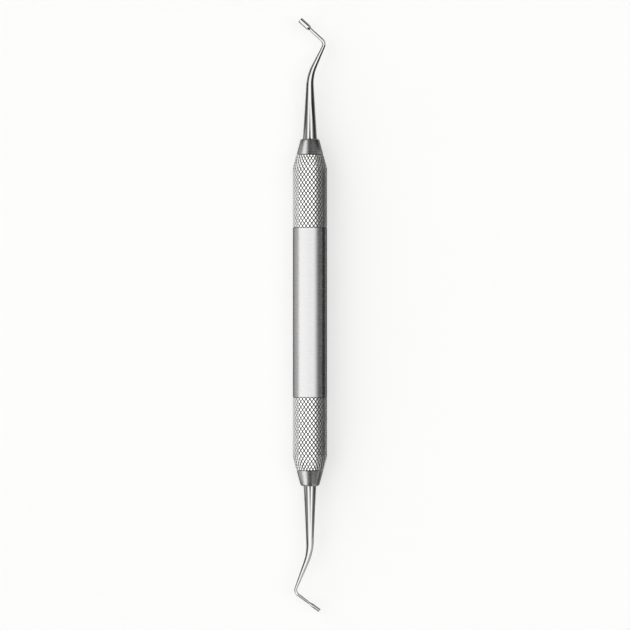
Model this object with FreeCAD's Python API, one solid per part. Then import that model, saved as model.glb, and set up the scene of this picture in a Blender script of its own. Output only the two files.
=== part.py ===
"""Double-ended dental plugger, lying on its side.

The handle's axis is Y and the origin is on that axis, halfway along the handle. +Y points to the
larger nib, +X is to the right in the view from above and +Z is up. Sizes are in millimetres and
degrees. Three pieces make the instrument: a hollow knurled handle and two working ends, each of
which has a tang pressed into the bore at one end of the handle.
"""
import FreeCAD, Part
import math
import os
from FreeCAD import Vector

# Handle: a tube with a smooth cone at each end
handle_length = 96.2
barrel_diameter = 9.5
tube_wall = 1.2
cone_length = 8.3
cone_tip_diameter = 5.05
smooth_cone_length = 4.35
bore_spare_depth = 0.5
large_lip_round = 0.5
small_lip_round = 0.7

# Knurl: rows of pointed diamonds between two crossing sets of grooves
knurl_teeth = 28
knurl_rows = 27
knurl_row_spacing = 0.75
knurl_depth = 0.25
knurl_set_back = 0.03

# Larger working end
large_tang_length = 12.0
large_base_diameter = 3.9
large_shank_length = 14.75
large_shank_middle_diameter = 2.96
large_shank_bend_angle = 25.0
large_shank_bend_radius = 12.9
large_bend_start_diameter = 2.05
large_bend_end_diameter = 1.45
large_arm_length = 5.9
large_knee_angle = 72.4
large_knee_radius = 1.67
large_knee_diameter = 0.91
large_neck_length = 4.3
large_neck_diameter = 0.86
large_shoulder_length = 0.9
large_nib_length = 3.0
large_nib_diameter = 1.46
large_nib_edge_round = 0.1

# Smaller working end
small_tang_length = 12.0
small_base_diameter = 3.5
small_shank_length = 15.65
small_shank_middle_diameter = 2.7
small_shank_bend_angle = 21.6
small_shank_bend_radius = 15.4
small_bend_start_diameter = 2.04
small_bend_end_diameter = 1.41
small_arm_length = 7.4
small_knee_angle = 75.2
small_knee_radius = 1.74
small_knee_diameter = 0.78
small_neck_length = 3.95
small_neck_diameter = 0.65
small_shoulder_length = 0.95
small_nib_length = 2.4
small_nib_diameter = 0.99
small_nib_edge_round = 0.07

tang_chamfer = 0.3

ORIGIN = Vector(0, 0, 0)
HANDLE_AXIS = Vector(0, 1, 0)
LARGE_SIDE = 1
SMALL_SIDE = -1

mouth_y = handle_length / 2
barrel_radius = barrel_diameter / 2
cone_tip_radius = cone_tip_diameter / 2
hollow_radius = barrel_radius - tube_wall
knurl_length = knurl_rows * knurl_row_spacing


def line(start, end):
    return Part.LineSegment(start, end).toShape()


def arc(start, middle, end):
    return Part.Arc(start, middle, end).toShape()


def rounded_corner(before, corner, after, radius):
    """The three points of the arc that rounds a corner between two straight lines."""
    first = (before - corner).normalize()
    second = (after - corner).normalize()
    half_angle = first.getAngle(second) / 2
    inward = (first + second).normalize()
    reach = radius / math.tan(half_angle)
    middle = corner + inward * (radius / math.sin(half_angle) - radius)
    return corner + first * reach, middle, corner + second * reach


def outline_radius(depth):
    """Radius of the handle's smooth outline at a depth from its nearer mouth."""
    slope = (barrel_radius - cone_tip_radius) / cone_length
    return min(cone_tip_radius + slope * depth, barrel_radius)


def handle_point(radius, depth, side):
    """A point in the half plane of the handle's outline, at a depth from the mouth on that side."""
    return Vector(radius, side * (mouth_y - depth), 0)


def mouth_outline(side, bore_radius, bore_depth, lip_round):
    """Edges from the knurl's edge over the cone, round the lip and down the bore to the hollow."""
    knurl_edge = handle_point(outline_radius(smooth_cone_length), smooth_cone_length, side)
    corner = handle_point(cone_tip_radius, 0, side)
    bore_edge = handle_point(bore_radius, 0, side)
    bore_end = handle_point(bore_radius, bore_depth, side)
    hollow_edge = handle_point(hollow_radius, bore_depth + hollow_radius - bore_radius, side)
    lip_limit = 0.9 * (cone_tip_radius - bore_radius)
    cone_side, lip_middle, face_side = rounded_corner(
        knurl_edge, corner, bore_edge, min(lip_round, lip_limit))
    cone_points = [knurl_edge]
    if cone_length < smooth_cone_length:
        cone_points.append(handle_point(barrel_radius, cone_length, side))
    cone_points.append(cone_side)
    edges = [line(a, b) for a, b in zip(cone_points, cone_points[1:])]
    edges.append(arc(cone_side, lip_middle, face_side))
    edges.append(line(face_side, bore_edge))
    edges.append(line(bore_edge, bore_end))
    edges.append(line(bore_end, hollow_edge))
    return edges, hollow_edge


def knurl_point(radius, step, row, side):
    """A point of the knurl: so many tooth steps round the axis, on one row of the pattern."""
    angle = 2 * math.pi * step / knurl_teeth
    y = side * (mouth_y - smooth_cone_length - row * knurl_row_spacing)
    return Vector(radius * math.cos(angle), y, radius * math.sin(angle))


def crest_radius(row):
    return outline_radius(smooth_cone_length + row * knurl_row_spacing) - knurl_set_back


def groove_crossing(row, tooth, side):
    """Where two grooves cross. On the first and last row they have run out to the crest."""
    depth = 0 if row in (0, knurl_rows) else knurl_depth
    return knurl_point(crest_radius(row) - depth, tooth + row % 2 / 2, row, side)


def triangle(a, b, c):
    return Part.Face(Part.makePolygon([a, b, c, a]))


def knurl_skin(side):
    """Diamond pyramids, each between four groove crossings, with half diamonds at both ends."""
    faces = []
    for row in range(knurl_rows + 1):
        for tooth in range(knurl_teeth):
            left = groove_crossing(row, tooth, side)
            right = groove_crossing(row, tooth + 1, side)
            crest = knurl_point(crest_radius(row), tooth + row % 2 / 2 + 0.5, row, side)
            for next_row in (row - 1, row + 1):
                if 0 <= next_row <= knurl_rows:
                    crossing = groove_crossing(next_row, tooth + row % 2, side)
                    faces.append(triangle(left, crossing, crest))
                    faces.append(triangle(crossing, right, crest))
    return faces


def knurl_border(row, radius, side):
    """The narrow flat ring between the smooth surface and the edge of the knurl."""
    steps = [row % 2 / 2 + tooth / 2 for tooth in range(2 * knurl_teeth)]
    points = [knurl_point(crest_radius(row), step, row, side) for step in steps]
    inner = Part.makePolygon(points + points[:1])
    centre = knurl_point(0, 0, row, side)
    outer = Part.Wire(Part.makeCircle(radius, centre, HANDLE_AXIS))
    return Part.makeFace([outer, inner], "Part::FaceMakerBullseye")


def make_handle():
    """One closed skin: cones, mouths, bores and hollow in one turn, then knurls and barrel."""
    large_bore_depth = large_tang_length + bore_spare_depth
    small_bore_depth = small_tang_length + bore_spare_depth
    large_edges, large_hollow_edge = mouth_outline(
        LARGE_SIDE, large_base_diameter / 2, large_bore_depth, large_lip_round)
    small_edges, small_hollow_edge = mouth_outline(
        SMALL_SIDE, small_base_diameter / 2, small_bore_depth, small_lip_round)
    hollow = line(large_hollow_edge, small_hollow_edge)
    turned_wire = Part.Wire(large_edges + [hollow] + small_edges[::-1])
    knurl_end = smooth_cone_length + knurl_length
    barrel_edge = line(handle_point(outline_radius(knurl_end), knurl_end, LARGE_SIDE),
                       handle_point(outline_radius(knurl_end), knurl_end, SMALL_SIDE))
    faces = turned_wire.revolve(ORIGIN, HANDLE_AXIS, 360).Faces
    faces += barrel_edge.revolve(ORIGIN, HANDLE_AXIS, 360).Faces
    for side in (LARGE_SIDE, SMALL_SIDE):
        faces += knurl_skin(side)
        faces += knurl_border(0, outline_radius(smooth_cone_length), side).Faces
        faces += knurl_border(knurl_rows, outline_radius(knurl_end), side).Faces
    shell = Part.makeShell(faces)
    shell.sewShape()
    return outward_solid(shell)


def outward_solid(shell):
    solid = Part.Solid(shell)
    if solid.Volume < 0:
        solid.reverse()
    return solid


def heading_vector(heading):
    """Unit vector in the plane of the bends: 0 degrees is outwards from the mouth, 90 is +X."""
    angle = math.radians(heading)
    return Vector(math.sin(angle), math.cos(angle), 0)


def turned_rod(start, heading, outline):
    """A solid turned round a heading, from outline edges in (distance, radius)."""
    length = outline[-1].Vertexes[-1].X
    closing = [line(ORIGIN, outline[0].Vertexes[0].Point),
               line(outline[-1].Vertexes[-1].Point, Vector(length, 0, 0))]
    closing.append(line(Vector(length, 0, 0), ORIGIN))
    section = Part.Face(Part.Wire([closing[0]] + outline + closing[1:]))
    rod = section.revolve(ORIGIN, Vector(1, 0, 0), 360)
    turn = FreeCAD.Rotation(Vector(1, 0, 0), heading_vector(heading))
    rod.Placement = FreeCAD.Placement(start, turn)
    return rod


def straight_run(start, heading, length, start_diameter, end_diameter):
    outline = [line(Vector(0, start_diameter / 2, 0), Vector(length, end_diameter / 2, 0))]
    return turned_rod(start, heading, outline), start + heading_vector(heading) * length


def bent_run(start, heading, bend, radius, start_diameter, end_diameter):
    """A tapering bend. A positive bend turns towards +X."""
    side = heading_vector(heading + math.copysign(90, bend))
    centre = start + side * radius
    middle = centre - heading_vector(heading + bend / 2 + math.copysign(90, bend)) * radius
    end = centre - heading_vector(heading + bend + math.copysign(90, bend)) * radius
    sweep = Part.BRepOffsetAPI.MakePipeShell(Part.Wire(arc(start, middle, end)))
    sweep.add(Part.Wire(Part.makeCircle(start_diameter / 2, start, heading_vector(heading))))
    sweep.add(Part.Wire(Part.makeCircle(end_diameter / 2, end, heading_vector(heading + bend))))
    sweep.build()
    sweep.makeSolid()
    return sweep.shape(), end


def nib(start, heading, neck_diameter, shoulder_length, nib_length, nib_diameter, edge_round):
    """Shoulder and nib: the neck swells in an S of two equal arcs to the flat-ended nib."""
    neck_radius = neck_diameter / 2
    nib_radius = nib_diameter / 2
    rise = nib_radius - neck_radius
    arc_radius = (shoulder_length ** 2 + rise ** 2) / (4 * rise)
    quarter = math.atan2(rise, shoulder_length)
    along = arc_radius * math.sin(quarter)
    across = arc_radius * (1 - math.cos(quarter))
    foot = Vector(0, neck_radius, 0)
    waist = Vector(shoulder_length / 2, neck_radius + rise / 2, 0)
    top = Vector(shoulder_length, nib_radius, 0)
    tip = Vector(shoulder_length + nib_length, nib_radius, 0)
    tip_centre = Vector(tip.x, 0, 0)
    side_end, edge_middle, face_start = rounded_corner(top, tip, tip_centre, edge_round)
    outline = [arc(foot, foot + Vector(along, across, 0), waist),
               arc(waist, top - Vector(along, across, 0), top),
               line(top, side_end),
               arc(side_end, edge_middle, face_start)]
    return turned_rod(start, heading, outline)


def tang(length, diameter):
    outline = [line(Vector(0, diameter / 2 - tang_chamfer, 0), Vector(tang_chamfer, diameter / 2, 0)),
               line(Vector(tang_chamfer, diameter / 2, 0), Vector(length, diameter / 2, 0))]
    return turned_rod(Vector(0, -length, 0), 0, outline)


def working_end(tang_length, base_diameter, shank_length, shank_middle_diameter,
                shank_bend_angle, shank_bend_radius, bend_start_diameter, bend_end_diameter,
                arm_length, knee_angle, knee_radius, knee_diameter,
                neck_length, neck_diameter, shoulder_length,
                nib_length, nib_diameter, nib_edge_round):
    """A working end with its mouth at the origin and its shank along +Y."""
    heading = 0
    lower_shank, place = straight_run(
        ORIGIN, heading, shank_length / 2, base_diameter, shank_middle_diameter)
    upper_shank, place = straight_run(
        place, heading, shank_length / 2, shank_middle_diameter, bend_start_diameter)
    bend, place = bent_run(
        place, heading, shank_bend_angle, shank_bend_radius, bend_start_diameter, bend_end_diameter)
    heading += shank_bend_angle
    arm, place = straight_run(place, heading, arm_length, bend_end_diameter, knee_diameter)
    knee, place = bent_run(
        place, heading, -knee_angle, knee_radius, knee_diameter, knee_diameter)
    heading -= knee_angle
    neck, place = straight_run(place, heading, neck_length, knee_diameter, neck_diameter)
    point = nib(place, heading, neck_diameter, shoulder_length,
                nib_length, nib_diameter, nib_edge_round)
    rod = tang(tang_length, base_diameter)
    rod = rod.multiFuse([lower_shank, upper_shank, bend, arm, knee, neck, point])
    return rod.removeSplitter()


def make_large_end():
    end = working_end(
        large_tang_length, large_base_diameter, large_shank_length, large_shank_middle_diameter,
        large_shank_bend_angle, large_shank_bend_radius, large_bend_start_diameter,
        large_bend_end_diameter, large_arm_length, large_knee_angle, large_knee_radius,
        large_knee_diameter, large_neck_length, large_neck_diameter, large_shoulder_length,
        large_nib_length, large_nib_diameter, large_nib_edge_round)
    end.translate(Vector(0, mouth_y, 0))
    return end


def make_small_end():
    end = working_end(
        small_tang_length, small_base_diameter, small_shank_length, small_shank_middle_diameter,
        small_shank_bend_angle, small_shank_bend_radius, small_bend_start_diameter,
        small_bend_end_diameter, small_arm_length, small_knee_angle, small_knee_radius,
        small_knee_diameter, small_neck_length, small_neck_diameter, small_shoulder_length,
        small_nib_length, small_nib_diameter, small_nib_edge_round)
    end.translate(Vector(0, mouth_y, 0))
    end.rotate(ORIGIN, Vector(0, 0, 1), 180)
    return end


def save(shape, name):
    """Write one piece and say what it is made of."""
    solids = shape.Solids
    piece = solids[0] if len(solids) == 1 else shape
    piece.exportStep(os.path.join("parts", name + ".step"))
    box = piece.BoundBox
    print(name, "solids", len(solids), "valid", piece.isValid(), "faces", len(piece.Faces),
          "volume %.2f" % piece.Volume,
          "box %.2f %.2f %.2f to %.2f %.2f %.2f" % (
              box.XMin, box.YMin, box.ZMin, box.XMax, box.YMax, box.ZMax))


os.makedirs("parts", exist_ok=True)
save(make_handle(), "handle")
save(make_large_end(), "large_plugger_end")
save(make_small_end(), "small_plugger_end")
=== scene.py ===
"""A dental plugger with two ends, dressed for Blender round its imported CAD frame.

Sizes are in millimetres and degrees, as in the part's source, and a finished piece is scaled to
metres. The handle's axis is Y, +Y points to the larger nib, +X is right and +Z is up.
"""
import bmesh
import bpy
import math
from mathutils import Matrix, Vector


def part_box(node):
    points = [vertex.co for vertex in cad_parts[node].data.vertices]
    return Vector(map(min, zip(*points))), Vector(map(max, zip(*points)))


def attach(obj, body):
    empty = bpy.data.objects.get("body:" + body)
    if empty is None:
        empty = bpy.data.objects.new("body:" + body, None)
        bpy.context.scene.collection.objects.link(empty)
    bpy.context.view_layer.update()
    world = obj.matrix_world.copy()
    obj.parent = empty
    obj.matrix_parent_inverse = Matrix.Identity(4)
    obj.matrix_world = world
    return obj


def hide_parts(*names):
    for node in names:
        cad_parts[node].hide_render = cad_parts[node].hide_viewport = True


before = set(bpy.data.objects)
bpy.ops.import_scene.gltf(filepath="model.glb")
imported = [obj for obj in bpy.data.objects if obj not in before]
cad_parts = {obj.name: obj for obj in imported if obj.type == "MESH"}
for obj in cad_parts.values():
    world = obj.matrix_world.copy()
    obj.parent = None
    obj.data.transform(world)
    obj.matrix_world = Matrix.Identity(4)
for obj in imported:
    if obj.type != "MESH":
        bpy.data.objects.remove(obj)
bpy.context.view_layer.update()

MM = 0.001
tolerance = 0.001  # in millimetres, far below the shortest real edge

# Handle, from the frame's box and the part's source
handle_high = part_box("handle")[1]
mouth_y = handle_high.y / MM
barrel_radius = handle_high.z / MM
tube_wall = 1.2
cone_length = 8.3
cone_tip_radius = 2.525
smooth_cone_length = 4.35
bore_depth = 12.5
lip_segments = 6
cone_ring_shares = (0.97, 0.75, 0.5, 0.25)  # of the smooth cone's length, from its mouth
satin_slot, knurl_slot = 0, 1

# Knurl: rows of flat-topped pads between two crossing sets of rolled grooves
knurl_teeth = 28
knurl_rows = 27
knurl_row_spacing = 0.75
groove_half_width = 0.125
groove_depth = 0.24
groove_flank_depth = 0.14
pad_edge_width = 0.07
pad_edge_drop = 0.03
knurl_border_width = 0.25
knurl_length = knurl_rows * knurl_row_spacing

# Working ends
ring_sides = 64
tang_length = 12.0
tang_chamfer = 0.3
taper_lead = 0.3

# Studio
card_height = 60.0
card_base_y = 54.0
softbox_strength = 2.4
floor_radius = 3000.0
floor_white_share = 0.55


def outline_radius(depth):
    """Radius of the handle's outline at a depth from its nearer mouth."""
    slope = (barrel_radius - cone_tip_radius) / cone_length
    return min(cone_tip_radius + slope * depth, barrel_radius)


def verts_of(edges):
    return list({v for e in edges for v in e.verts})


def move_on(bm, ring, move):
    """Draw a wall out of an open ring of edges, move the far side, and give its edges."""
    made = bmesh.ops.extrude_edge_only(bm, edges=ring)["geom"]
    points = [g for g in made if isinstance(g, bmesh.types.BMVert)]
    bmesh.ops.transform(bm, matrix=move, verts=points)
    moved = set(points)
    return [g for g in made if isinstance(g, bmesh.types.BMEdge) and moved.issuperset(g.verts)]


def finish_mesh(bm, name, materials, sharp_angle):
    """Scale a closed mesh to metres, turn its faces outwards and make the object."""
    bmesh.ops.remove_doubles(bm, verts=bm.verts, dist=tolerance / 2)
    bmesh.ops.recalc_face_normals(bm, faces=bm.faces)
    bmesh.ops.scale(bm, vec=(MM, MM, MM), verts=bm.verts)
    for face in bm.faces:
        face.smooth = True
    mesh = bpy.data.meshes.new(name)
    bm.to_mesh(mesh)
    bm.free()
    mesh.set_sharp_from_angle(angle=math.radians(sharp_angle))
    for material in materials:
        mesh.materials.append(material)
    piece = bpy.data.objects.new(name, mesh)
    bpy.context.scene.collection.objects.link(piece)
    return piece


# Knurl

def rolled_sheet(bm):
    """A flat sheet, one tooth step to the unit along X, cut along both sets of grooves."""
    made = bmesh.ops.create_grid(bm, x_segments=1, y_segments=1, size=0.5)
    bmesh.ops.translate(bm, vec=(0.5, 0.5, 0), verts=made["verts"])
    bmesh.ops.scale(bm, vec=(knurl_teeth, knurl_length, 1), verts=made["verts"])
    reach = math.ceil(knurl_rows / 2) + 1
    first_row = knurl_row_spacing / 2
    for lean in (-1, 1):
        for step in range(-reach, knurl_teeth + reach):
            bmesh.ops.bisect_plane(
                bm, geom=bm.verts[:] + bm.edges[:] + bm.faces[:], dist=tolerance / 10,
                plane_co=(step, first_row, 0), plane_no=(knurl_row_spacing, lean / 2, 0))


def wrap(bm):
    """Roll the flat sheet round the handle's outline and close its seam."""
    for v in bm.verts:
        angle = 2 * math.pi * v.co.x / knurl_teeth
        depth = smooth_cone_length + v.co.y
        radius = outline_radius(depth)
        v.co = (radius * math.cos(angle), mouth_y - depth, radius * math.sin(angle))
    seam = [e for e in bm.edges if e.is_boundary
            and abs(e.verts[0].co.y - e.verts[1].co.y) > tolerance]
    bmesh.ops.remove_doubles(bm, verts=verts_of(seam), dist=tolerance)
    seam = [e for e in bm.edges
            if all(abs(v.co.z) < tolerance and v.co.x > 0 for v in e.verts)]
    bmesh.ops.dissolve_edges(bm, edges=seam, use_verts=True)


def border_ring(bm, y):
    return [e for e in bm.edges if all(abs(v.co.y - y) < tolerance for v in e.verts)]


def ring_move(from_y, from_radius, to_y, to_radius):
    """Matrix that takes a ring round the handle's axis to another place and radius."""
    ratio = to_radius / from_radius
    return (Matrix.Translation((0, to_y, 0)) @ Matrix.Diagonal((ratio, 1, ratio, 1))
            @ Matrix.Translation((0, -from_y, 0)))


def knurled_tube(bm):
    """The knurl with a plain border at each end. Gives the border rings nearer and farther."""
    rolled_sheet(bm)
    wrap(bm)
    rings = []
    for depth, way in ((smooth_cone_length, -1), (smooth_cone_length + knurl_length, 1)):
        far = depth + way * knurl_border_width
        move = ring_move(mouth_y - depth, outline_radius(depth),
                         mouth_y - far, outline_radius(far))
        edge = border_ring(bm, mouth_y - depth)
        rings.append(move_on(bm, edge, move))
        tips = [e for e in border_ring(bm, mouth_y - depth)
                if any(len(f.verts) == 3 for f in e.link_faces)]
        bmesh.ops.dissolve_edges(bm, edges=tips, use_verts=False)
    return rings


def roll_grooves(bm, groove):
    """Split every line of the pattern into a groove with two flanks, and press it in."""
    near_y = mouth_y - smooth_cone_length + tolerance
    far_y = near_y - knurl_length - 2 * tolerance
    lines = [e for e in bm.edges if all(far_y < v.co.y < near_y for v in e.verts)]
    made = bmesh.ops.bevel(
        bm, geom=lines, offset=groove_half_width, offset_type="OFFSET", affect="EDGES",
        segments=4, profile=0.5, material=-1)
    pressed = set(made["faces"])
    rim = {v for f in pressed for v in f.verts if any(g not in pressed for g in v.link_faces)}
    inside = {v for f in pressed for v in f.verts} - rim
    flank = {v for v in inside if any(e.other_vert(v) in rim for e in v.link_edges)}
    pads = [f for f in bm.faces if f not in pressed and rim.issuperset(f.verts)]
    pad_of = {v: f for f in pads for v in f.verts}
    middle = {f: f.calc_center_median().y for f in pads}
    bmesh.ops.inset_individual(bm, faces=pads, thickness=pad_edge_width, depth=0)
    pad_of.update({v: f for f in pads for v in f.verts})
    for v in bm.verts:
        drop = 0
        if v in rim:
            drop = pad_edge_drop if v in pad_of else 0
        elif v in flank:
            drop = groove_flank_depth
        elif v in inside:
            drop = groove_depth
        # The groove's depth, which the knurl material turns into dirt and painted shade in the
        # grooves
        v[groove] = drop / groove_depth
        y = middle[pad_of[v]] if v in pad_of else v.co.y
        radius = outline_radius(mouth_y - y) - drop
        ratio = radius / math.hypot(v.co.x, v.co.z)
        v.co.x *= ratio
        v.co.z *= ratio


# Handle

def grip(bm, groove, side, bore_radius, lip_round):
    """One end of the handle, from the barrel over knurl, cone, lip and bore to the hollow."""
    part = bmesh.new()
    part_groove = part.verts.layers.float.new("groove")
    near, far = knurled_tube(part)
    roll_grooves(part, part_groove)
    for face in part.faces:
        border = any(e.is_boundary for e in face.edges)
        face.material_index = satin_slot if border else knurl_slot
    depth = smooth_cone_length - knurl_border_width
    radius = outline_radius(depth)
    ring = near
    corner = None
    hollow_radius = barrel_radius - tube_wall
    wall = hollow_radius - bore_radius
    stations = [(depth * share, outline_radius(depth * share))
                for share in cone_ring_shares]
    stations += [(0, cone_tip_radius), (0, bore_radius), (bore_depth, bore_radius),
                 (bore_depth + wall, hollow_radius)]
    for new_depth, new_radius in stations:
        move = ring_move(mouth_y - depth, radius, mouth_y - new_depth, new_radius)
        ring = move_on(part, ring, move)
        if new_depth == 0 and corner is None:
            corner = ring
        depth, radius = new_depth, new_radius
    bmesh.ops.bevel(part, geom=corner, offset=lip_round, offset_type="OFFSET", affect="EDGES",
                    segments=lip_segments, profile=0.5, material=-1)
    if side < 0:
        bmesh.ops.rotate(part, cent=(0, 0, 0), verts=part.verts,
                         matrix=Matrix.Rotation(math.pi, 3, "X"))
    mesh = bpy.data.meshes.new("grip")
    part.to_mesh(mesh)
    part.free()
    bm.from_mesh(mesh)
    bpy.data.meshes.remove(mesh)


def make_handle(materials):
    bm = bmesh.new()
    groove = bm.verts.layers.float.new("groove")
    grip(bm, groove, 1, bore_radius=1.95, lip_round=0.38)
    grip(bm, groove, -1, bore_radius=1.75, lip_round=0.53)
    loops = [e for e in bm.edges if e.is_boundary]
    mid_wall = barrel_radius - tube_wall / 2
    for outer in (True, False):
        loop = [e for e in loops
                if (math.hypot(e.verts[0].co.x, e.verts[0].co.z) > mid_wall) == outer]
        bmesh.ops.bridge_loops(bm, edges=loop)
    return finish_mesh(bm, "turned_handle", materials, sharp_angle=18)


# Working ends

class Rod:
    """The centre line of a round rod in the plane of the bends, as ring places."""

    def __init__(self, diameter):
        self.frame = Matrix.Identity(4)
        self.places = [self.place(diameter)]
        self.diameter = diameter

    def place(self, diameter):
        radius = diameter / 2
        return (self.frame @ Matrix.Rotation(math.pi / 2, 4, "X")
                @ Matrix.Diagonal((radius, radius, 1, 1)))

    def go(self, length, diameter, steps=1, hollow=0.0):
        """Straight on, tapering to a diameter, and so much thinner halfway than a plain taper."""
        start, first = self.frame, self.diameter
        for step in range(1, steps + 1):
            share = step / steps
            self.frame = start @ Matrix.Translation((0, length * share, 0))
            self.places.append(self.place(
                first + (diameter - first) * share - 4 * hollow * share * (1 - share)))
        self.diameter = diameter

    def bend(self, angle, radius, diameter, steps):
        """Round a bend, towards +X for a positive angle, tapering to a diameter."""
        start, first = self.frame, self.diameter
        out = Matrix.Translation((math.copysign(radius, angle), 0, 0))
        for step in range(1, steps + 1):
            share = step / steps
            turn = Matrix.Rotation(-math.radians(angle) * share, 4, "Z")
            self.frame = start @ out @ turn @ out.inverted()
            self.places.append(self.place(first + (diameter - first) * share))
        self.diameter = diameter

    def skin(self, place):
        """A closed mesh through the rings, moved to its place on the handle."""
        bm = bmesh.new()
        made = bmesh.ops.create_circle(bm, cap_ends=True, segments=ring_sides, radius=1,
                                       matrix=self.places[0])
        ring = [e for e in bm.edges if all(v in made["verts"] for v in e.verts)]
        for before, after in zip(self.places, self.places[1:]):
            ring = move_on(bm, ring, after @ before.inverted())
        bmesh.ops.contextual_create(bm, geom=ring)
        bmesh.ops.transform(bm, matrix=place, verts=bm.verts)
        return bm


def working_end(base, shank, shank_hollow, bend_start, bend_angle, bend_radius, bend_end, arm,
                knee_angle, knee_radius, knee, neck_length, neck, shoulder, nib_length, nib,
                edge):
    """A rod from its tang through shank, bend, arm, knee, neck and shoulder to the nib's face."""
    rod = Rod(base - 2 * tang_chamfer)
    rod.go(tang_chamfer, base)
    rod.go(tang_length - tang_chamfer - taper_lead, base)
    rod.go(taper_lead + shank, bend_start, steps=24, hollow=shank_hollow)
    rod.bend(bend_angle, bend_radius, bend_end, steps=16)
    rod.go(arm, knee, steps=14)
    rod.bend(-knee_angle, knee_radius, knee, steps=20)
    rod.go(neck_length, neck, steps=8)
    swell_steps = 12
    for step in range(1, swell_steps + 1):
        share = step / swell_steps
        swell = (1 - math.cos(math.pi * share)) / 2
        rod.go(shoulder / swell_steps, neck + (nib - neck) * swell)
    rod.go(nib_length - edge, nib, steps=6)
    edge_steps = 5
    for step in range(1, edge_steps + 1):
        before, after = (math.pi / 2 * s / edge_steps for s in (step - 1, step))
        rod.go(edge * (math.sin(after) - math.sin(before)), nib - 2 * edge * (1 - math.cos(after)))
    return rod


def make_large_end(materials):
    rod = working_end(
        base=3.9, shank=14.75, shank_hollow=0.02, bend_start=2.05,
        bend_angle=25.0, bend_radius=12.9, bend_end=1.45, arm=5.9,
        knee_angle=72.4, knee_radius=1.67, knee=0.91,
        neck_length=4.3, neck=0.86, shoulder=0.9, nib_length=3.0, nib=1.46, edge=0.1)
    place = Matrix.Translation((0, mouth_y - tang_length, 0))
    return finish_mesh(rod.skin(place), "large_plugger", materials, sharp_angle=50)


def make_small_end(materials):
    rod = working_end(
        base=3.5, shank=15.65, shank_hollow=0.07, bend_start=2.04,
        bend_angle=21.6, bend_radius=15.4, bend_end=1.41, arm=7.4,
        knee_angle=75.2, knee_radius=1.74, knee=0.78,
        neck_length=3.95, neck=0.65, shoulder=0.95, nib_length=2.4, nib=0.99, edge=0.07)
    place = (Matrix.Rotation(math.pi, 4, "Z")
             @ Matrix.Translation((0, mouth_y - tang_length, 0)))
    return finish_mesh(rod.skin(place), "small_plugger", materials, sharp_angle=50)


# Materials

def linear(colour):
    """Linear RGBA from an sRGB hex value such as "8A8D8F"."""
    parts = [int(colour[i:i + 2], 16) / 255 for i in (0, 2, 4)]
    return [p / 12.92 if p <= 0.04045 else ((p + 0.055) / 1.055) ** 2.4 for p in parts] + [1]


def add(tree, kind, inputs=None, **settings):
    """Add a node, set what it is told, and feed its inputs with values or other nodes' outputs."""
    node = tree.nodes.new(kind)
    for name, value in settings.items():
        setattr(node, name, value)
    for name, value in (inputs or {}).items():
        if isinstance(value, bpy.types.NodeSocket):
            tree.links.new(value, node.inputs[name])
        else:
            node.inputs[name].default_value = value
    return node


def maths(tree, operation, first, second=0.0):
    node = add(tree, "ShaderNodeMath", {0: first, 1: second}, operation=operation)
    return node.outputs["Value"]


def new_material(name):
    material = bpy.data.materials.new(name)
    material.use_nodes = True
    material.node_tree.nodes.clear()
    return material, material.node_tree


def lines_round_axis(tree, spacing_mm):
    """Fine lines round the handle's axis, as a turning tool leaves them, from 0 to 1.

    Across the axis the noise is so wide that a line stays even all the way round.
    """
    place = add(tree, "ShaderNodeTexCoord").outputs["Object"]
    across_scale = 30
    stretched = add(tree, "ShaderNodeMapping", {
        "Vector": place, "Scale": (across_scale, 1 / (spacing_mm * MM), across_scale)})
    return add(tree, "ShaderNodeTexNoise", {
        "Vector": stretched.outputs["Vector"], "Scale": 1.0, "Detail": 2.0}).outputs["Fac"]


def turned_satin_steel():
    """Stainless steel turned and left satin: a soft wide sheen crossed by fine lines.

    Real turning lines are closer than these, which are drawn as coarse as they need to show.
    """
    material, tree = new_material("turned_satin_stainless_steel")
    lines = lines_round_axis(tree, spacing_mm=0.25)
    rough = add(tree, "ShaderNodeMapRange", {
        "Value": lines, "From Min": 0.3, "From Max": 0.7, "To Min": 0.25, "To Max": 0.34})
    tint = add(tree, "ShaderNodeMix", {
        "Factor": lines, "A": linear("A1A0A0"), "B": linear("A9A8A8")}, data_type="RGBA")
    bump = add(tree, "ShaderNodeBump", {"Height": lines, "Strength": 0.08, "Distance": 0.00002})
    # The grey edge tint darkens the steel towards its outline: painted shade at the edges
    steel = add(tree, "ShaderNodeBsdfPrincipled", {
        "Base Color": tint.outputs["Result"], "Metallic": 1.0,
        "Roughness": rough.outputs["Result"], "Specular Tint": linear("606060"),
        "Normal": bump.outputs["Normal"]})
    add(tree, "ShaderNodeOutputMaterial", {"Surface": steel.outputs["BSDF"]})
    return material


def rolled_knurl_steel():
    """Stainless steel rolled into a knurl: bright pressed crests, and dull grooves whose colour
    darkens with depth, partly as dirt and partly as painted shade.
    """
    material, tree = new_material("rolled_knurl_stainless_steel")
    groove = add(tree, "ShaderNodeAttribute", attribute_name="groove").outputs["Fac"]
    rough = add(tree, "ShaderNodeMapRange", {
        "Value": groove, "From Min": 0.1, "From Max": 0.6, "To Min": 0.32, "To Max": 0.5})
    # Darker with the groove's depth: partly dirt, partly painted shade in the recesses
    groove_dirt_and_shade = add(tree, "ShaderNodeMapRange", {
        "Value": groove, "From Min": 0.25, "From Max": 0.75, "To Min": 0.0, "To Max": 1.0})
    tint = add(tree, "ShaderNodeMix", {
        "Factor": groove_dirt_and_shade.outputs["Result"], "A": linear("DADAD8"), "B": linear("242424")},
        data_type="RGBA")
    # The grey edge tint darkens the steel towards its outline: painted shade at the edges
    steel = add(tree, "ShaderNodeBsdfPrincipled", {
        "Base Color": tint.outputs["Result"], "Metallic": 1.0,
        "Roughness": rough.outputs["Result"], "Specular Tint": linear("606060")})
    add(tree, "ShaderNodeOutputMaterial", {"Surface": steel.outputs["BSDF"]})
    return material


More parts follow.
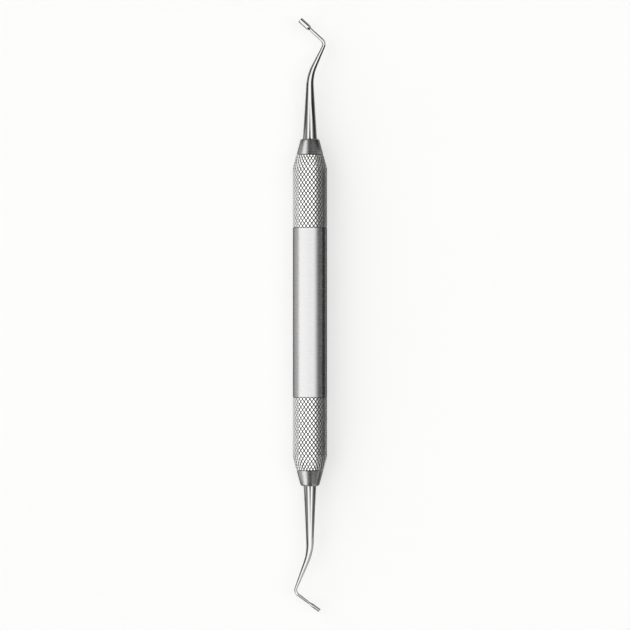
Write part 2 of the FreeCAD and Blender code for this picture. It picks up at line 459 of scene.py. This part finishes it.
def mirror_polished_steel():
    """Stainless steel polished to a mirror: sharp reflections and a trace of buffing marks."""
    material, tree = new_material("mirror_polished_stainless_steel")
    place = add(tree, "ShaderNodeTexCoord").outputs["Object"]
    mark_spacing_mm = 0.4
    marks = add(tree, "ShaderNodeTexNoise", {
        "Vector": place, "Scale": 1 / (mark_spacing_mm * MM), "Detail": 3.0}).outputs["Fac"]
    rough = add(tree, "ShaderNodeMapRange", {
        "Value": marks, "From Min": 0.3, "From Max": 0.7, "To Min": 0.03, "To Max": 0.08})
    # The black edge tint makes the steel darker towards its outline than real steel: painted shade
    # at the edges
    steel = add(tree, "ShaderNodeBsdfPrincipled", {
        "Base Color": linear("A6A6A4"), "Metallic": 1.0,
        "Roughness": rough.outputs["Result"], "Specular Tint": linear("000000")})
    add(tree, "ShaderNodeOutputMaterial", {"Surface": steel.outputs["BSDF"]})
    return material


def matt_white_board():
    """Matt lacquered board, without sheen: the plain pale floor and one tall card.

    The camera and reflections see it about half as a white light, so its shadow stays faint.
    """
    material, tree = new_material("matt_white_board")
    board = add(tree, "ShaderNodeBsdfPrincipled", {
        "Base Color": linear("F4F4F2"), "Roughness": 0.9})
    white = add(tree, "ShaderNodeEmission", {"Color": linear("FFFFFF"), "Strength": 1.0})
    ray = add(tree, "ShaderNodeLightPath").outputs
    seen = maths(tree, "MAXIMUM", ray["Is Camera Ray"],
                 maths(tree, "MAXIMUM", ray["Is Glossy Ray"], ray["Is Transmission Ray"]))
    both = add(tree, "ShaderNodeMixShader", {
        0: maths(tree, "MULTIPLY", seen, floor_white_share), 1: board.outputs["BSDF"],
        2: white.outputs["Emission"]})
    add(tree, "ShaderNodeOutputMaterial", {"Surface": both.outputs["Shader"]})
    return material


def matt_card(name, colour):
    """Photographer's card, dyed paper with no sheen, for polished steel to reflect."""
    material, tree = new_material(name)
    card = add(tree, "ShaderNodeBsdfPrincipled", {"Base Color": linear(colour), "Roughness": 1.0})
    add(tree, "ShaderNodeOutputMaterial", {"Surface": card.outputs["BSDF"]})
    return material


def softbox_cloth():
    """White cloth of a softbox, lit evenly from behind."""
    material, tree = new_material("softbox_cloth")
    cloth = add(tree, "ShaderNodeEmission", {
        "Color": linear("FFFFFF"), "Strength": softbox_strength})
    add(tree, "ShaderNodeOutputMaterial", {"Surface": cloth.outputs["Emission"]})
    return material


# Studio

def make_floor(board):
    """A round floor under the barrel, which turns up in a low cove at its far edge."""
    bm = bmesh.new()
    made = bmesh.ops.create_circle(bm, cap_ends=True, segments=96, radius=floor_radius)
    ring = [e for e in bm.edges if all(v in made["verts"] for v in e.verts)]
    for rise, spread in ((50, 1.04), (150, 1.02), (200, 1.0)):
        ring = move_on(bm, ring, Matrix.Translation((0, 0, rise))
                       @ Matrix.Diagonal((spread, spread, 1, 1)))
    bmesh.ops.recalc_face_normals(bm, faces=bm.faces)
    bmesh.ops.translate(bm, vec=(0, 0, -barrel_radius), verts=bm.verts)
    bmesh.ops.scale(bm, vec=(MM, MM, MM), verts=bm.verts)
    mesh = bpy.data.meshes.new("floor")
    bm.to_mesh(mesh)
    bm.free()
    mesh.materials.append(board)
    floor = bpy.data.objects.new("floor", mesh)
    bpy.context.scene.collection.objects.link(floor)


def graph(tree, value, points):
    """A straight-line graph of a value, through points of (value, result)."""
    first, last = points[0][0], points[-1][0]
    low, high = (pick(result for _, result in points) for pick in (min, max))
    share = add(tree, "ShaderNodeMapRange", {"Value": value, "From Min": first, "From Max": last})
    node = add(tree, "ShaderNodeValToRGB", {"Fac": share.outputs["Result"]})
    stops = node.color_ramp.elements
    while len(stops) < len(points):
        stops.new(1.0)
    for stop, (place, result) in zip(stops, points):
        stop.position = (place - first) / (last - first)
        level = (result - low) / (high - low)
        stop.color = (level, level, level, 1)
    back = add(tree, "ShaderNodeMapRange", {
        "Value": node.outputs["Color"], "To Min": low, "To Max": high})
    return back.outputs["Result"]


def make_world():
    """Two softboxes overhead, left and right, with a dark gap between them towards the ends.

    Across is the angle from straight up towards +X, and along the angle towards either end.
    """
    world = bpy.data.worlds.new("studio")
    bpy.context.scene.world = world
    world.use_nodes = True
    tree = world.node_tree
    tree.nodes.clear()
    toward = add(tree, "ShaderNodeSeparateXYZ", {
        "Vector": add(tree, "ShaderNodeTexCoord").outputs["Generated"]})
    x, y, z = (toward.outputs[axis] for axis in "XYZ")
    across = maths(tree, "DEGREES", maths(tree, "ARCTAN2", x, z))
    tilt = maths(tree, "DEGREES", maths(tree, "ARCSINE", y))
    along = maths(tree, "ABSOLUTE", tilt)
    left = maths(tree, "MAXIMUM", maths(tree, "MULTIPLY", across, -1.0), 0.0)
    right = maths(tree, "MAXIMUM", across, 0.0)

    # The gap opens towards the ends, and wider on the left
    gap_left = graph(tree, along, [(13, -5), (32, 35), (45, 42)])
    gap_right = graph(tree, along, [(13, -5), (32, 18)])
    left_open = graph(tree, maths(tree, "SUBTRACT", left, gap_left), [(0, 0), (4, 1)])
    right_open = graph(tree, maths(tree, "SUBTRACT", right, gap_right), [(0, 0), (4, 1)])

    # The left box fades down to the floor, and later towards the ends
    fade_shift = graph(tree, along, [(12, 0), (20, 20), (24, 50)])
    left_box = graph(tree, maths(tree, "SUBTRACT", left, fade_shift),
                     [(38, softbox_strength), (46, 1.2), (58, 0.5), (74, 0.38), (89, 0.22),
                      (100, 0.15)])
    left_reach = graph(tree, along, [(48, 1), (60, 0.3)])
    left_light = maths(tree, "MULTIPLY", maths(tree, "MULTIPLY", left_box, left_reach), left_open)

    # The right box is short and reaches lower past its middle, and the dim room shows past it
    right_shift = graph(tree, tilt, [(-8, -12), (-4, 0), (4, 0), (8, -4)])
    right_box = graph(tree, maths(tree, "ADD", right, right_shift),
                      [(30, softbox_strength), (38, 1.5), (47, 0.5), (60, 0.26), (74, 0.14),
                       (90, 0.06)])
    right_reach = graph(tree, along, [(16, 1), (23, 0)])
    room = graph(tree, right, [(8, 0.28), (20, 0.1), (36, 0.1), (50, 0.26), (85, 0.14)])
    room_reach = graph(tree, along, [(16, 0), (23, 1), (34, 1), (40, 0.3)])
    right_light = maths(tree, "ADD", maths(tree, "MULTIPLY", right_box, right_reach),
                        maths(tree, "MULTIPLY", room, room_reach))
    right_light = maths(tree, "MULTIPLY", right_light, right_open)

    on_left = maths(tree, "LESS_THAN", across, 0.0)
    light = maths(tree, "ADD", maths(tree, "MULTIPLY", left_light, on_left),
                  maths(tree, "MULTIPLY", right_light, maths(tree, "SUBTRACT", 1.0, on_left)))
    sky = add(tree, "ShaderNodeBackground", {"Color": (1, 1, 1, 1), "Strength": light})
    add(tree, "ShaderNodeOutputWorld", {"Surface": sky.outputs["Background"]})


def make_card(name, corners, material):
    """A flat card or softbox that only shows in reflections."""
    bm = bmesh.new()
    bmesh.ops.contextual_create(bm, geom=[bm.verts.new(corner) for corner in corners])
    bmesh.ops.scale(bm, vec=(MM, MM, MM), verts=bm.verts)
    mesh = bpy.data.meshes.new(name)
    bm.to_mesh(mesh)
    bm.free()
    mesh.materials.append(material)
    card = bpy.data.objects.new(name, mesh)
    bpy.context.scene.collection.objects.link(card)
    card.visible_camera = False
    card.visible_diffuse = False
    card.visible_shadow = False


def make_overhead_card(side, left, right, tip, far, material):
    """A triangle over one shank, which shows in it as a dark tapering line."""
    corners = [(x, side * y, card_height)
               for x, y in ((left, card_base_y), (right, card_base_y), (tip, far))]
    make_card("overhead_card", corners, material)


def make_side_card(x, tops, material):
    """A card that stands on the floor beside the instrument, with the (y, z) points of its top."""
    corners = [(x, y, z) for y, z in tops]
    corners += [(x, y, -barrel_radius) for y in (tops[-1][0], tops[0][0])]
    make_card("side_card", corners, material)


def make_cards(board):
    """Black cards overhead, dark, grey and white cards beside, and a softbox on the left."""
    black = matt_card("matt_black_card", "101010")
    make_overhead_card(1, left=-20, right=19, tip=-2, far=70.5, material=black)
    make_overhead_card(-1, left=-15, right=19, tip=6, far=69.5, material=black)
    dark = matt_card("matt_dark_card", "404040")
    make_side_card(12, [(48, 2), (54, 6), (62, 21), (74, 21)], dark)
    make_side_card(-12, [(49.5, -3.5), (53, 0), (58, 1.5), (66, 2.5)], dark)
    make_side_card(14, [(-46, 4), (46, 4)], dark)
    make_side_card(12, [(-47, 2), (-58, 1.5), (-66, -3.5)], dark)
    make_side_card(-12, [(-49.5, -3.5), (-53, -0.5), (-62, 0.5), (-66, 2.5), (-105, 2.5)], dark)
    grey = matt_card("matt_grey_card", "8A8A8A")
    make_side_card(-25, [(54, 0), (61, 9), (68, 16), (82, 38), (96, 40)], grey)
    make_side_card(25, [(-66, 14), (-74, 22), (-84, 56), (-97, 60)], board)
    box_x, box_end, box_bottom, box_top = -70, 48, 12, 83
    make_card("side_softbox", [(box_x, -box_end, box_bottom), (box_x, box_end, box_bottom),
                               (box_x, box_end, box_top), (box_x, -box_end, box_top)],
              softbox_cloth())


def make_camera():
    """Straight down on the instrument, from about a metre, as the photograph looks."""
    frame_mm = 174.7  # what the picture's side spans at the instrument
    middle_x, middle_y = 1.4, -0.7
    data = bpy.data.cameras.new("camera")
    data.lens = 200
    data.sensor_width = 36
    camera = bpy.data.objects.new("camera", data)
    bpy.context.scene.collection.objects.link(camera)
    distance = frame_mm * data.lens / data.sensor_width
    camera.location = (middle_x * MM, middle_y * MM, distance * MM)
    bpy.context.scene.camera = camera


satin = turned_satin_steel()
knurl = rolled_knurl_steel()
polished = mirror_polished_steel()

handle = make_handle([satin, knurl])
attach(handle, "root")
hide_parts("handle")

large_end = make_large_end([polished])
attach(large_end, "root")
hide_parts("large_plugger_end")

small_end = make_small_end([polished])
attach(small_end, "root")
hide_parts("small_plugger_end")

board = matt_white_board()
make_floor(board)
make_world()
make_cards(board)
make_camera()
bpy.context.scene.view_settings.view_transform = "Standard"
